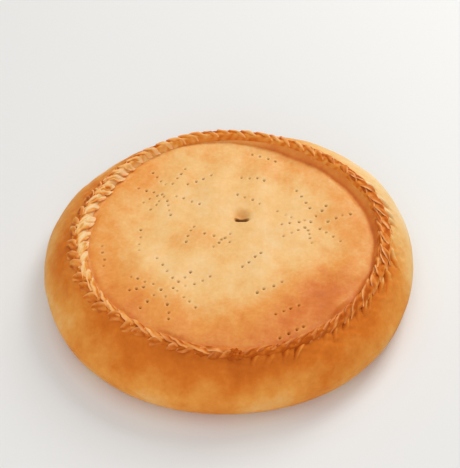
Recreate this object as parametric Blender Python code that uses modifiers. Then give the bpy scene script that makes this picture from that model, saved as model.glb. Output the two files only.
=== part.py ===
"""Meat and onion pie, baked and uncut: one solid that stands on its flat base.

The case is a turned shape with a bulging side, then pulled a little out of round.
Its seam carries a braid of dough folds. Each fold has one tongue lying outwards down
the side and one lying inwards to the lid, and both trail clockwise as seen from above.
The lid lies a little below the braid. It is pricked with a fork and has one steam vent.
Metres, +Z up, base on z = 0, the pie's front towards -Y.
"""

import math
import random

import bmesh
import bpy
import numpy as np
from mathutils import Matrix, Vector

# Mean radii and heights of the case
FOOT_RADIUS = 0.1175
CASE_RADIUS = 0.1258
CASE_BULGE_HEIGHT = 0.018
SEAM_HEIGHT = 0.0405
BRAID_RADIUS = 0.1011
BRAID_BED_HEIGHT = 0.0418
BRAID_BED_HALF_WIDTH = 0.0022
BED_INNER_SHARE = 0.35
CREASE_RADIUS = 0.0945
LID_HEIGHT = 0.0380
LID_SWELL = 0.0010

# How hand shaping pulls each circle out of round: (waves round the pie, cosine, sine)
CASE_WAVES = ((1, 0.0010, 0.0008), (2, 0.0018, 0.0020), (3, -0.0010, 0.0008), (4, -0.0012, -0.0003))
BRAID_WAVES = ((1, 0.0021, -0.0006), (2, 0.0019, -0.0003), (3, 0.0, 0.0001), (4, 0.0009, 0.0008))
CREASE_WAVES = ((1, 0.0013, -0.0008), (2, 0.0005, -0.0013), (3, 0.0011, -0.0008), (4, -0.0001, 0.0010))
WALL_FULLNESS = 1.25

# Facets
TURN_STEPS = 90
FOOT_STEPS = 3
WALL_STEPS = 5
LID_RINGS = 4
FOLD_STEPS = 4
TONGUE_STEPS = (-1.0, -0.6, -0.25, 0.0, 0.25, 0.6, 1.0)

# The braid's folds, at azimuths round the pie: 0 is the right side, 90 the back, 180 the
# left and 270 the front. Pitch in degrees a fold, then the tongues' measures in mm.
PITCH_AZIMUTHS = (0, 30, 50, 90, 130, 160, 190, 210, 240, 280, 310, 340)
FOLD_PITCH = (6.0, 7.4, 5.2, 5.6, 4.9, 4.9, 5.8, 5.4, 6.2, 5.2, 5.0, 5.4)
BRAID_AZIMUTHS = (0, 30, 45, 60, 90, 105, 120, 150, 180, 210, 240, 270, 300, 330)
OUTER_REACH = (9.0, 6.5, 6.0, 5.5, 5.5, 5.5, 5.5, 5.5, 6.0, 7.5, 7.0, 6.0, 6.5, 8.0)
OUTER_TRAIL = (12.0, 12.0, 11.0, 9.0, 8.0, 8.0, 8.0, 8.0, 7.0, 6.5, 8.0, 4.0, 6.0, 9.0)
INNER_REACH = (4.0, 3.5, 4.5, 6.0, 7.0, 5.5, 5.5, 7.0, 7.5, 4.5, 3.6, 3.2, 3.4, 3.8)
INNER_TRAIL = (8.0, 11.0, 11.0, 10.0, 9.0, 9.0, 9.0, 9.5, 7.0, 9.0, 10.0, 9.0, 8.0, 8.0)
FOLD_THICKNESS = 0.0042
VALLEY_SHARE = 0.30
CREST_DIP = 0.36
CREST_DIP_WIDTH = 0.16
TIP_BITE = 0.0008
OUTER_LEAN = math.radians(45.0)
INNER_LEAN = math.radians(15.0)
SCALLOP = 0.25
ROOT_DEPTH = 0.0060
FOLD_UNEVENNESS = 0.14
FOLD_SEED = 11

KNOT_AZIMUTH = math.radians(-88.0)
KNOT_SIZE = (0.0100, 0.0080, 0.0080)

# Marks on the lid, in mm from the lid's own middle point
LID_MIDDLE = (0.0040, 0.0055)
FORK_TINES = 4
PRICK_WIDTH = 0.0015
PRICK_DEPTH = 0.0024
PRICK_SIDES = 5
PRICK_SPACING = 0.0028
FORK_STABS = (
    ((-57, 58), (-48, 45)), ((-35, 60), (-43, 45)), ((-16, 53), (-32, 45)), ((-67, 41), (-50, 36)),
    ((-63, 28), (-50, 38)), ((-57, 22), (-49, 33)), ((-44, 15), (-46, 29)), ((-41, 33), (-24, 26)),
    ((-64, 2), (-64, -18)), ((-28, 4), (-33, -11)), ((-20, -3), (-4, -11)), ((-3, -3), (-14, -15)),
    ((-51, -25), (-41, -42)), ((-29, -37), (-40, -51)), ((-16, -41), (-32, -49)), ((-68, -42), (-53, -48)),
    ((-68, -53), (-55, -49)), ((-60, -67), (-48, -53)), ((-37, -54), (-25, -66)), ((-44, -59), (-42, -77)),
    ((-88, -14), (-86, -32)), ((5, -33), (17, -22)), ((14, -56), (30, -47)), ((25, -74), (40, -67)),
    ((27, -93), (42, -84)), ((14, 76), (30, 69)), ((6, 52), (22, 48)), ((2, 34), (18, 26)),
    ((45, 38), (52, 19)), ((30, 18), (44, 7)), ((64, 21), (52, 8)), ((79, 14), (64, 8)),
    ((32, 4), (48, 9)), ((33, -7), (48, 2)), ((58, 1), (71, -11)), ((50, -1), (51, -12)),
)
VENT_PLACE = (5.2, 12.5)
VENT_SIZE = (0.0104, 0.0096, 0.0130)

MM = 0.001


def clear_scene():
    for obj in list(bpy.data.objects):
        bpy.data.objects.remove(obj, do_unlink=True)


def make_collection(name, helper=False):
    collection = bpy.data.collections.new(name)
    bpy.context.scene.collection.children.link(collection)
    collection.hide_render = helper
    return collection


def waves(azimuth, terms):
    """A few cosine and sine waves round the pie, added up."""
    return sum(c * np.cos(k * azimuth) + s * np.sin(k * azimuth) for k, c, s in terms)


def case_radius(azimuth):
    return CASE_RADIUS + waves(azimuth, CASE_WAVES)


def braid_radius(azimuth):
    return BRAID_RADIUS + waves(azimuth, BRAID_WAVES)


def crease_radius(azimuth):
    return CREASE_RADIUS + waves(azimuth, CREASE_WAVES)


def wall_height(share):
    """Height of the side at a share of the way out from the braid's bed (0) to the bulge (1)."""
    share = np.clip(share, 0.0, 1.0)
    drop = (1.0 - share**WALL_FULLNESS) ** (1.0 / WALL_FULLNESS)
    return CASE_BULGE_HEIGHT + (SEAM_HEIGHT - CASE_BULGE_HEIGHT) * drop


def inner_height(share):
    """Height of the slope inside the braid, from its bed (0) down to the lid's crease (1)."""
    share = np.clip(share, 0.0, 1.0)
    ease = share * share * (3.0 - 2.0 * share)
    return BRAID_BED_HEIGHT + (LID_HEIGHT - BRAID_BED_HEIGHT) * ease


def lid_swell(x, y):
    """Broad soft lumps in the lid: three slow waves that cross one another."""
    return LID_SWELL * (
        0.5 * np.sin(62.0 * x + 24.0 * y + 0.6)
        + 0.3 * np.sin(-38.0 * x + 71.0 * y + 2.1)
        + 0.2 * np.sin(88.0 * x - 52.0 * y + 4.0)
    )


def skin_height(azimuth, out):
    """Height of the case's skin, out metres outwards from the braid's crest line."""
    crest = braid_radius(azimuth)
    wall = case_radius(azimuth) - crest - BRAID_BED_HALF_WIDTH
    inside = crest - crease_radius(azimuth)
    down_wall = wall_height((out - BRAID_BED_HALF_WIDTH) / wall)
    down_slope = inner_height((-out / inside - BED_INNER_SHARE) / (1.0 - BED_INNER_SHARE))
    return np.where(out > BRAID_BED_HALF_WIDTH, down_wall, down_slope)


def case_profile():
    """Half outline as (radius, height), from the lid's middle out and down to the base's middle."""
    bed_inner = BRAID_RADIUS - BED_INNER_SHARE * (BRAID_RADIUS - CREASE_RADIUS)
    bed_outer = BRAID_RADIUS + BRAID_BED_HALF_WIDTH
    outline = [(CREASE_RADIUS * i / LID_RINGS, LID_HEIGHT) for i in range(LID_RINGS)]
    outline.append((CREASE_RADIUS - 0.004, LID_HEIGHT))
    outline.append((CREASE_RADIUS, LID_HEIGHT))
    outline.append(((CREASE_RADIUS + bed_inner) / 2.0, float(inner_height(0.5))))
    outline.append((bed_inner, BRAID_BED_HEIGHT))
    for i in range(WALL_STEPS):
        share = (i / WALL_STEPS) ** 1.1
        outline.append((bed_outer + share * (CASE_RADIUS - bed_outer), float(wall_height(share))))
    for i in range(FOOT_STEPS + 1):
        turn = math.pi / 2 * i / FOOT_STEPS
        radius = FOOT_RADIUS + (CASE_RADIUS - FOOT_RADIUS) * math.cos(turn)
        outline.append((radius, CASE_BULGE_HEIGHT * (1.0 - math.sin(turn))))
    outline.append((0.0, 0.0))
    return outline


def turn_case(collection):
    """Turns the profile with a Screw, applies it, then pulls the shape out of round."""
    outline = case_profile()
    mesh = bpy.data.meshes.new("case")
    mesh.from_pydata(
        [(radius, 0.0, height) for radius, height in outline],
        [(i, i + 1) for i in range(len(outline) - 1)],
        [],
    )
    turned = bpy.data.objects.new("case", mesh)
    collection.objects.link(turned)
    screw = turned.modifiers.new("turn", "SCREW")
    screw.steps = TURN_STEPS
    screw.render_steps = TURN_STEPS
    screw.use_merge_vertices = True
    screw.merge_threshold = 0.00005
    bpy.context.view_layer.update()
    graph = bpy.context.evaluated_depsgraph_get()
    shaped = bpy.data.meshes.new_from_object(turned.evaluated_get(graph))
    turned.modifiers.clear()
    turned.data = shaped
    bpy.data.meshes.remove(mesh)
    pull_out_of_round(shaped)
    return turned


def pull_out_of_round(mesh):
    """Moves every point radially by the waves of the circles it lies between."""
    points = np.empty(len(mesh.vertices) * 3, np.float32)
    mesh.vertices.foreach_get("co", points)
    points = points.reshape(-1, 3).astype(float)
    radius = np.hypot(points[:, 0], points[:, 1])
    azimuth = np.arctan2(points[:, 1], points[:, 0])
    crease = waves(azimuth, CREASE_WAVES)
    braid = waves(azimuth, BRAID_WAVES)
    case = waves(azimuth, CASE_WAVES)
    to_crease = np.clip(radius / CREASE_RADIUS, 0.0, 1.0)
    to_braid = np.clip((radius - CREASE_RADIUS) / (BRAID_RADIUS - CREASE_RADIUS), 0.0, 1.0)
    to_case = np.clip((radius - BRAID_RADIUS) / (CASE_RADIUS - BRAID_RADIUS), 0.0, 1.0)
    above = to_crease * crease + to_braid * (braid - crease) + to_case * (case - braid)
    below = case * np.clip(radius / FOOT_RADIUS, 0.0, 1.0)
    shift = np.where(points[:, 2] < CASE_BULGE_HEIGHT - 1e-6, below, above)
    share = np.divide(shift, radius, out=np.zeros_like(shift), where=radius > 1e-6)
    points[:, :2] *= 1.0 + share[:, None]
    on_lid = (points[:, 2] > CASE_BULGE_HEIGHT) & (radius < CREASE_RADIUS - 0.002)
    points[on_lid, 2] += lid_swell(points[on_lid, 0], points[on_lid, 1])
    mesh.vertices.foreach_set("co", points.astype(np.float32).ravel())
    mesh.update()


def add_ellipsoid(collection, name, matrix):
    """A low sphere of radius 1 under the matrix."""
    shape = bmesh.new()
    bmesh.ops.create_uvsphere(shape, u_segments=10, v_segments=6, radius=1.0)
    bmesh.ops.transform(shape, matrix=matrix, verts=shape.verts)
    mesh = bpy.data.meshes.new(name)
    shape.to_mesh(mesh)
    shape.free()
    obj = bpy.data.objects.new(name, mesh)
    collection.objects.link(obj)
    return obj


def fold_azimuths():
    """Azimuth of every step of every fold, clockwise from the knot, at the pitch of its place."""
    travel = np.linspace(0.0, 360.0, 1441)
    azimuth = math.degrees(KNOT_AZIMUTH) - travel
    density = 1.0 / np.interp(azimuth, PITCH_AZIMUTHS, FOLD_PITCH, period=360)
    count = np.concatenate([[0.0], np.cumsum((density[1:] + density[:-1]) / 2 * np.diff(travel))])
    folds = int(round(count[-1]))
    steps = np.arange(folds * FOLD_STEPS) / FOLD_STEPS
    return np.radians(np.interp(steps, count * folds / count[-1], azimuth)), folds


def braid_values(azimuth, values, folds, uneven):
    """A braid measure in metres at each step: read between its stations, then varied fold by fold."""
    mean = MM * np.interp(np.degrees(azimuth), BRAID_AZIMUTHS, values, period=360)
    factor = 1.0 + FOLD_UNEVENNESS * np.array([uneven.uniform(-1.0, 1.0) for _ in range(folds)])
    steps = np.arange(folds * FOLD_STEPS) / FOLD_STEPS - 0.5
    return mean * np.interp(steps, np.arange(folds), factor, period=folds)


def braid_points():
    """The braid as a grid: a row for each step round it, a column for each step across it.

    Across, a tongue's share runs from -1 at the inner tip over 0 at the crest to 1 at the
    outer tip. It sets how far the point reaches from the crest line and trails clockwise.
    Each fold is a rounded ridge, deep between folds, dipped at the crest and thin at its
    tips, which bite into the skin. The last column is the root, buried in the case.
    """
    uneven = random.Random(FOLD_SEED)
    azimuth, folds = fold_azimuths()
    phase = np.arange(len(azimuth)) % FOLD_STEPS / FOLD_STEPS
    ridge = np.sin(math.pi * phase) ** 0.6
    share = np.array(TONGUE_STEPS)[None, :]
    measures = [
        braid_values(azimuth, values, folds, uneven)[:, None]
        for values in (OUTER_REACH, OUTER_TRAIL, INNER_REACH, INNER_TRAIL)
    ]
    reach = np.where(share > 0, measures[0], measures[2])
    trail = np.where(share > 0, measures[1], measures[3])
    scallop = 1.0 - SCALLOP * (1.0 - ridge[:, None]) * np.abs(share)
    out = share * reach * scallop
    around = azimuth[:, None] - np.abs(share) * trail / BRAID_RADIUS
    body = (1.0 - share**4) * (1.0 - CREST_DIP * np.exp(-((share / CREST_DIP_WIDTH) ** 2)))
    height = VALLEY_SHARE + (1.0 - VALLEY_SHARE) * ridge[:, None]
    relief = FOLD_THICKNESS * height * body - TIP_BITE * share**4
    lean = np.where(share > 0, OUTER_LEAN, INNER_LEAN) * np.tanh(out / 0.0025)
    radius = braid_radius(around) + out + relief * np.sin(lean)
    level = skin_height(around, out) + relief * np.cos(lean)
    points = np.stack([radius * np.cos(around), radius * np.sin(around), level], axis=-1)
    root_radius = braid_radius(azimuth)
    root = np.stack(
        [
            root_radius * np.cos(azimuth),
            root_radius * np.sin(azimuth),
            np.full_like(azimuth, BRAID_BED_HEIGHT - ROOT_DEPTH),
        ],
        axis=-1,
    )
    return np.concatenate([points, root[:, None, :]], axis=1)


def make_braid(collection):
    """Lofts the braid's sections into one closed ring, and adds the knot that ends it."""
    points = braid_points()
    rows, columns = points.shape[:2]
    row, column = np.meshgrid(np.arange(rows), np.arange(columns), indexing="ij")
    next_row = (row + 1) % rows
    next_column = (column + 1) % columns
    corners = ((row, column), (next_row, column), (next_row, next_column), (row, next_column))
    faces = np.stack([r * columns + c for r, c in corners], axis=-1).reshape(-1, 4)
    mesh = bpy.data.meshes.new("braid")
    mesh.from_pydata(points.reshape(-1, 3).tolist(), [], faces.tolist())
    shape = bmesh.new()
    shape.from_mesh(mesh)
    bmesh.ops.triangulate(shape, faces=shape.faces)
    bmesh.ops.recalc_face_normals(shape, faces=shape.faces)
    shape.to_mesh(mesh)
    shape.free()
    collection.objects.link(bpy.data.objects.new("braid", mesh))
    knot = Matrix.Diagonal((*(size / 2 for size in KNOT_SIZE), 1.0))
    radius = float(braid_radius(KNOT_AZIMUTH)) + BRAID_BED_HALF_WIDTH / 2
    knot.translation = Vector(
        (radius * math.cos(KNOT_AZIMUTH), radius * math.sin(KNOT_AZIMUTH), BRAID_BED_HEIGHT)
    )
    add_ellipsoid(collection, "knot", knot)


def lid_place(mark):
    """A mark's place in metres from its millimetres on the lid."""
    return LID_MIDDLE[0] + mark[0] * MM, LID_MIDDLE[1] + mark[1] * MM


def prick_places():
    """Every tine's place, without those that fall into a hole already made."""
    places = []
    for first, last in FORK_STABS:
        for tine in range(FORK_TINES):
            share = tine / (FORK_TINES - 1)
            mark = [a + (b - a) * share for a, b in zip(first, last)]
            place = lid_place(mark)
            if all(math.dist(place, other) > PRICK_SPACING for other in places):
                places.append(place)
    return places


def make_cutters(collection):
    """One mesh of thin cones for the tines' pricks, and an egg shape for the vent."""
    pricks = bmesh.new()
    for x, y in prick_places():
        surface = LID_HEIGHT + float(lid_swell(x, y))
        height = 2.0 * PRICK_DEPTH
        bmesh.ops.create_cone(
            pricks,
            cap_ends=True,
            segments=PRICK_SIDES,
            radius1=0.0,
            radius2=PRICK_WIDTH,
            depth=height,
            matrix=Matrix.Translation((x, y, surface)),
        )
    bmesh.ops.remove_doubles(pricks, verts=pricks.verts, dist=1e-6)
    mesh = bpy.data.meshes.new("pricks")
    pricks.to_mesh(mesh)
    pricks.free()
    cutter = bpy.data.objects.new("pricks", mesh)
    collection.objects.link(cutter)
    vent = Matrix.Diagonal((*(size / 2 for size in VENT_SIZE), 1.0))
    vent.translation = (*lid_place(VENT_PLACE), LID_HEIGHT)
    return cutter, add_ellipsoid(collection, "vent", vent)


def apply_boolean(obj, operation, cutter=None, collection=None, solver="EXACT"):
    """Runs one Boolean on the object and keeps its result as the object's mesh."""
    modifier = obj.modifiers.new("boolean", "BOOLEAN")
    modifier.operation = operation
    modifier.solver = solver
    if collection is None:
        modifier.object = cutter
    else:
        modifier.operand_type = "COLLECTION"
        modifier.collection = collection
    bpy.context.view_layer.update()
    graph = bpy.context.evaluated_depsgraph_get()
    result = bpy.data.meshes.new_from_object(obj.evaluated_get(graph))
    obj.modifiers.clear()
    before = obj.data
    obj.data = result
    bpy.data.meshes.remove(before)


def keep_outer_skin(mesh):
    """Keeps the largest joined skin: fills the hollows that fusing sealed and drops loose scraps."""
    shape = bmesh.new()
    shape.from_mesh(mesh)
    left = set(shape.faces)
    skins = []
    while left:
        skin = []
        edge_of_search = [left.pop()]
        while edge_of_search:
            face = edge_of_search.pop()
            skin.append(face)
            for edge in face.edges:
                for neighbour in edge.link_faces:
                    if neighbour in left:
                        left.remove(neighbour)
                        edge_of_search.append(neighbour)
        skins.append(skin)
    skins.sort(key=len)
    for skin in skins[:-1]:
        bmesh.ops.delete(shape, geom=skin, context="FACES")
    shape.to_mesh(mesh)
    shape.free()


def remove_collection(collection):
    for obj in list(collection.objects):
        bpy.data.objects.remove(obj, do_unlink=True)
    bpy.data.collections.remove(collection)


def crust_material():
    material = bpy.data.materials.new("baked crust")
    material.use_nodes = True
    shader = material.node_tree.nodes["Principled BSDF"]
    shader.inputs["Base Color"].default_value = (0.68, 0.37, 0.145, 1.0)
    shader.inputs["Roughness"].default_value = 0.42
    shader.inputs["Metallic"].default_value = 0.0
    return material


def main():
    clear_scene()
    parts = make_collection("meat and onion pie")
    braid = make_collection("braid", helper=True)
    cutters = make_collection("cutters", helper=True)
    pie = turn_case(parts)
    pie.name = "pie"
    make_braid(braid)
    apply_boolean(pie, "UNION", collection=braid)
    remove_collection(braid)
    keep_outer_skin(pie.data)
    for cutter in make_cutters(cutters):
        apply_boolean(pie, "DIFFERENCE", cutter=cutter)
    remove_collection(cutters)
    pie.data.materials.clear()
    pie.data.materials.append(crust_material())
    pie.data.name = "pie"
    pie.data.shade_smooth()
    pie.data.set_sharp_from_angle(angle=math.radians(40))


main()
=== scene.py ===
# %% [markdown]
# # A baked meat and onion pie
#
# The pie is round and uncut. A soft case of dough bulges out near the table, a braid of
# folds closes its top edge, and a flat lid lies a little below the braid, pricked with a
# fork and with one steam vent. Every shape here is a formula on a grid of two
# parameters, worked out with numpy for all points at once. A reader can change one
# number, such as the width of a fold, and see the whole braid follow.

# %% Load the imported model
import math

import bmesh
import bpy
import numpy as np
from mathutils import Matrix, Vector


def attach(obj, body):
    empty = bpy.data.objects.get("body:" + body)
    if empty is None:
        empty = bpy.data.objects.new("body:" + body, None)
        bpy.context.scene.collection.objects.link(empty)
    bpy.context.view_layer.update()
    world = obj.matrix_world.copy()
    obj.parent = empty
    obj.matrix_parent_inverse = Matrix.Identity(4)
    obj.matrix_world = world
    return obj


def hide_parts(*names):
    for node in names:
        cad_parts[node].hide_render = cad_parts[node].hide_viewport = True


MM = 0.001
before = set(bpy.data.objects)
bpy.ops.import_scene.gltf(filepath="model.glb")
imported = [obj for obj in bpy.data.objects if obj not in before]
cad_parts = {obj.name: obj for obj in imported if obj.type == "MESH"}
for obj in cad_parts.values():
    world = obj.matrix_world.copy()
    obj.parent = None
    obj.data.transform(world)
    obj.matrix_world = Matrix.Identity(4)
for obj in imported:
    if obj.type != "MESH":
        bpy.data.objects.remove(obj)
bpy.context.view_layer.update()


# %% [markdown]
# ## Camera
#
# The picture was taken from in front and above, with a long lens. The round outlines in
# it give the tilt, and the sizes give the distance. The camera comes first, so that
# every later step can be looked at from the right place.

# %% Camera
CAMERA_PLACE = (0.0010, -0.4748, 0.5400)
CAMERA_DOWN = math.radians(46.51)
CAMERA_ROLL = math.radians(-0.66)

camera_data = bpy.data.cameras.new("camera")
camera_data.lens = 79.0
camera_data.sensor_width = 36.0
camera = bpy.data.objects.new("camera", camera_data)
bpy.context.scene.collection.objects.link(camera)
tilt = Matrix.Rotation(math.pi / 2 - CAMERA_DOWN, 4, "X") @ Matrix.Rotation(CAMERA_ROLL, 4, "Z")
camera.matrix_world = Matrix.Translation(CAMERA_PLACE) @ tilt
bpy.context.scene.camera = camera
print("camera", round(math.dist(CAMERA_PLACE, (0, 0, 0.04)), 3), "m from the lid")

# %% [markdown]
# ## The pie's circles
#
# A pie that is shaped by hand is never quite round. Blender's Spin tool would turn a true
# circle, so the radius is a formula instead. Each of the three circles, the case, the
# braid and the crease round the lid, has a mean radius and a few slow waves that pull it
# in and out. A wave is a cosine and a sine of a whole number times the azimuth, so that
# it meets itself again after one turn.

# %% Circles and heights
FOOT_RADIUS = 0.1175
CASE_RADIUS = 0.1258
CASE_BULGE_HEIGHT = 0.018
SEAM_HEIGHT = 0.0405
WALL_FULLNESS = 1.25
BRAID_RADIUS = 0.1011
BRAID_BED_HEIGHT = 0.0418
BRAID_BED_HALF_WIDTH = 0.0022
BED_INNER_SHARE = 0.35
CREASE_RADIUS = 0.0945
LID_HEIGHT = 0.0380
CASE_WAVES = ((1, 0.0010, 0.0008), (2, 0.0018, 0.0020), (3, -0.0010, 0.0008), (4, -0.0012, -0.0003))
BRAID_WAVES = ((1, 0.0021, -0.0006), (2, 0.0019, -0.0003), (3, 0.0, 0.0001), (4, 0.0009, 0.0008))
CREASE_WAVES = ((1, 0.0013, -0.0008), (2, 0.0005, -0.0013), (3, 0.0011, -0.0008), (4, -0.0001, 0.0010))


def waves(azimuth, terms):
    """Adds up cosine times c and sine times s of each whole number k times the azimuth."""
    return sum(c * np.cos(k * azimuth) + s * np.sin(k * azimuth) for k, c, s in terms)


def case_radius(azimuth):
    """Radius of the case at its bulge: the mean plus its waves."""
    return CASE_RADIUS + waves(azimuth, CASE_WAVES)


def braid_radius(azimuth):
    """Radius of the braid's crest line: the mean plus its waves."""
    return BRAID_RADIUS + waves(azimuth, BRAID_WAVES)


def crease_radius(azimuth):
    """Radius of the crease round the lid: the mean plus its waves."""
    return CREASE_RADIUS + waves(azimuth, CREASE_WAVES)


def ease(share):
    """Runs from 0 to 1 with flat ends: three times the square less twice the cube."""
    share = np.clip(share, 0.0, 1.0)
    return share * share * (3.0 - 2.0 * share)


def wall_height(share):
    """Height of the side wall: a superellipse from the seam (0) out to the bulge (1)."""
    share = np.clip(share, 0.0, 1.0)
    drop = (1.0 - share**WALL_FULLNESS) ** (1.0 / WALL_FULLNESS)
    return CASE_BULGE_HEIGHT + (SEAM_HEIGHT - CASE_BULGE_HEIGHT) * drop


def inner_height(share):
    """Height of the slope inside the braid: an eased fall from its bed (0) to the crease (1)."""
    return BRAID_BED_HEIGHT + (LID_HEIGHT - BRAID_BED_HEIGHT) * ease(share)


crest_turn = braid_radius(np.linspace(0, 2 * math.pi, 720)) / MM
print("braid from", round(crest_turn.min(), 1), "to", round(crest_turn.max(), 1), "mm")

# %% [markdown]
# ## A place on the skin
#
# The folds lie on the case like leaves on a hill. They could be laid there by a
# Shrinkwrap modifier, but a formula keeps their thickness and their lift in hand. It is
# easiest to draw them flat, as an azimuth and a distance out from the braid's crest line,
# and to lay that drawing on the case afterwards. The lay also takes a relief: how far the
# dough stands off the skin, straight up on the crest and leaning outwards or inwards
# beside it.

# %% Skin
STEP_WIDTH = 0.0040
OUTER_LEAN = math.radians(45.0)
INNER_LEAN = math.radians(15.0)
LEAN_REACH = 0.0025
CREST_TOP = 0.0458
CREST_EASE_HEIGHT = 0.0444


def skin_height(azimuth, out):
    """Height of the case, out metres from the crest: the wall plus an eased step, or the inner slope."""
    crest = braid_radius(azimuth)
    wall = case_radius(azimuth) - crest - BRAID_BED_HALF_WIDTH
    step = (BRAID_BED_HEIGHT - SEAM_HEIGHT) * (1.0 - ease(out / STEP_WIDTH))
    down_wall = wall_height((out - BRAID_BED_HALF_WIDTH) / wall) + step
    inside = crest - crease_radius(azimuth)
    down_slope = inner_height((-out / inside - BED_INNER_SHARE) / (1.0 - BED_INNER_SHARE))
    return np.where(out > 0, down_wall, down_slope)


def on_skin(azimuth, out, relief):
    """Lays a flat drawing on the case.

    Relief goes off the skin along a lean that grows beside the crest. Near the pie's full
    height a tanh curve slows it down, so that no fold stands above the others.
    """
    lean = np.where(out > 0, OUTER_LEAN, INNER_LEAN) * np.tanh(out / LEAN_REACH)
    radius = braid_radius(azimuth) + out + relief * np.sin(lean)
    level = skin_height(azimuth, out) + relief * np.cos(lean)
    above = np.maximum(level - CREST_EASE_HEIGHT, 0.0)
    room = CREST_TOP - CREST_EASE_HEIGHT
    level = np.minimum(level, CREST_EASE_HEIGHT) + room * np.tanh(above / room)
    return np.stack(np.broadcast_arrays(radius * np.cos(azimuth), radius * np.sin(azimuth), level), axis=-1)


front_place = on_skin(np.array(-math.pi / 2), np.array(0.005), np.array(0.0))
print("skin 5 mm out at the front:", np.round(front_place / MM, 1), "mm")

# %% [markdown]
# ## Helpers: round values, soft noise and grids of faces
#
# Hand work changes on its way round the pie, so many sizes are given at a few azimuths
# and read between them. Small unevenness comes from sine waves in random directions with
# a fixed seed: it is smooth, has one clear size, and is the same each time. A Displace
# modifier could shape the dough so, but here the same lumps also brown it. A grid of
# points becomes a mesh in one call. Where a row of points meets in one pole, or a tip
# closes, the doubles are merged, so that the skin is shut.

# %% Helpers
LUMP_COUNT = 14
LUMP_SPREAD = 0.6
WELD_DISTANCE = 1e-6


def around(azimuth, stations, values):
    """Reads a value between its stations round the pie, which are in degrees."""
    return np.interp(np.degrees(azimuth), stations, values, period=360)


def lumps(points, size, seed):
    """Soft random lumps: sine waves about size long, each in a random direction, added up.

    The sum is divided by its usual spread and made smaller, so that it mostly stays
    between -1 and 1.
    """
    chance = np.random.default_rng(seed)
    way = chance.normal(size=(LUMP_COUNT, 3))
    length = size * chance.uniform(0.75, 1.5, LUMP_COUNT)
    start = chance.uniform(0, 2 * math.pi, LUMP_COUNT)
    way *= (2 * math.pi / length / np.linalg.norm(way, axis=1))[:, None]
    return LUMP_SPREAD * np.sin(points @ way.T + start).sum(axis=-1) / math.sqrt(LUMP_COUNT / 2)


def layered(points, layers):
    """Lumps of several sizes added up. Each layer has a strength, a size and a seed."""
    return sum(strength * lumps(points, size, seed) for strength, size, seed in layers)


def grid_piece(name, points, marks, round_rows=False, round_columns=False, weld=False):
    """Makes one object from a grid, or a stack of grids, of points, and marks with a number each."""
    if points.ndim == 3:
        points = points[None]
    copies, rows, columns = points.shape[:3]
    copy, row, column = np.meshgrid(
        np.arange(copies),
        np.arange(rows if round_rows else rows - 1),
        np.arange(columns if round_columns else columns - 1),
        indexing="ij",
    )
    here = (copy * rows + row) * columns
    ahead = (copy * rows + (row + 1) % rows) * columns
    beside = (column + 1) % columns
    corners = [here + column, ahead + column, ahead + beside, here + beside]
    faces = np.stack(corners, axis=-1).reshape(-1, 4)
    mesh = bpy.data.meshes.new(name)
    mesh.vertices.add(copies * rows * columns)
    mesh.vertices.foreach_set("co", points.astype(np.float32).ravel())
    mesh.loops.add(faces.size)
    mesh.loops.foreach_set("vertex_index", faces.astype(np.int32).ravel())
    mesh.polygons.add(len(faces))
    mesh.polygons.foreach_set("loop_start", np.arange(0, faces.size, 4, dtype=np.int32))
    mesh.update(calc_edges=True)
    for mark, values in marks.items():
        mesh.attributes.new(mark, "FLOAT", "POINT")
        full = np.broadcast_to(values, points.shape[:3])
        mesh.attributes[mark].data.foreach_set("value", full.astype(np.float32).ravel())
    if weld:
        shape = bmesh.new()
        shape.from_mesh(mesh)
        bmesh.ops.remove_doubles(shape, verts=shape.verts, dist=WELD_DISTANCE)
        shape.to_mesh(mesh)
        shape.free()
    mesh.validate()
    mesh.shade_smooth()
    piece = bpy.data.objects.new(name, mesh)
    bpy.context.scene.collection.objects.link(piece)
    print(name, len(mesh.vertices), "points,", len(mesh.loops) - 2 * len(mesh.polygons), "triangles")
    return piece


def dress(piece, material):
    """Gives a finished piece its finish, lets it ride on the pie and stand for the CAD solid."""
    piece.data.materials.append(material)
    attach(piece, "root")
    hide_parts("pie")


# %% [markdown]
# ## Where the folds lie
#
# The baker closes the pie with one fold after another, clockwise from the knot at the
# front. An Array modifier would set them all equally far apart, but the baker's folds are
# not all as wide. So the fold count is worked out as a running sum of one over the pitch.
# Two functions lead from an azimuth to its fold count and back, and everything on the
# braid and below it is drawn by that count.

# %% Fold count
KNOT_AZIMUTH = math.radians(-88.0)
PITCH_AZIMUTHS = (0, 30, 50, 90, 130, 160, 190, 210, 240, 280, 310, 340)
FOLD_PITCH = (6.0, 7.4, 5.2, 5.6, 4.9, 4.9, 5.8, 5.4, 6.2, 5.2, 5.0, 5.4)

travel = np.linspace(0.0, 360.0, 1441)
density = 1.0 / np.interp(math.degrees(KNOT_AZIMUTH) - travel, PITCH_AZIMUTHS, FOLD_PITCH, period=360)
running = np.concatenate([[0.0], np.cumsum((density[1:] + density[:-1]) / 2 * np.diff(travel))])
FOLDS = int(round(running[-1]))
running *= FOLDS / running[-1]


def azimuth_of(count):
    """Azimuth in radians of a fold count, where whole numbers lie between two folds."""
    turns, rest = np.divmod(count, FOLDS)
    return KNOT_AZIMUTH - np.radians(np.interp(rest, running, travel)) - 2 * math.pi * turns


def count_of(azimuth):
    """Fold count at an azimuth, from 0 at the knot up to the number of folds."""
    way = np.degrees(KNOT_AZIMUTH - azimuth) % 360.0
    return np.interp(way, travel, running)


print(FOLDS, "folds, about", round(2 * math.pi * BRAID_RADIUS / FOLDS / MM, 1), "mm each")
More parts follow.
